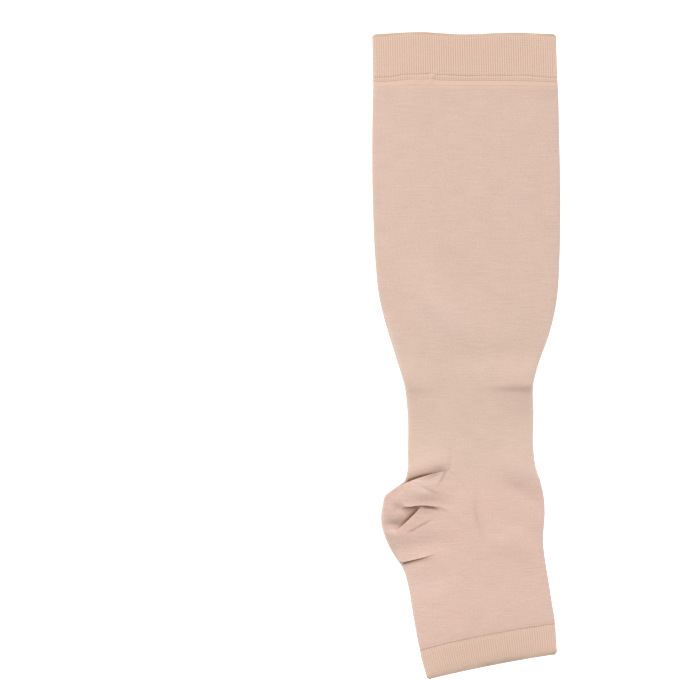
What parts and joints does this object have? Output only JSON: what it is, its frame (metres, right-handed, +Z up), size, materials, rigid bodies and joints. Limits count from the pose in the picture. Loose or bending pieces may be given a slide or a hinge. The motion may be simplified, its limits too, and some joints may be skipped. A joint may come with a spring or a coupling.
{
  "type": "open-toe compression stocking",
  "caption": "Knee-high knitted compression stocking lying flat, a hollow leg and foot tube with a ribbed knee band, heel pocket and open ribbed toe.",
  "frame": {"origin": "centre of the bounding box in plan, on the surface that the stocking lies on", "axes": "+Z up from the surface, +Y up the leg to the knee band, +X towards the shin, heel on the -X side"},
  "size_m": [0.1282, 0.4406, 0.0141],
  "materials": {
    "leg_knit": "smooth fine compression knit, beige",
    "rib_knit": "fine vertical rib knit, beige with a tan cast",
    "seam_knit": "rolled linking seam, lighter beige"
  },
  "bodies": {
    "root": {"top_band": "rib_knit", "band_seam": "seam_knit", "leg_and_foot": "leg_knit", "heel_pocket": "leg_knit", "toe_band": "rib_knit"}
  },
  "joints": []
}
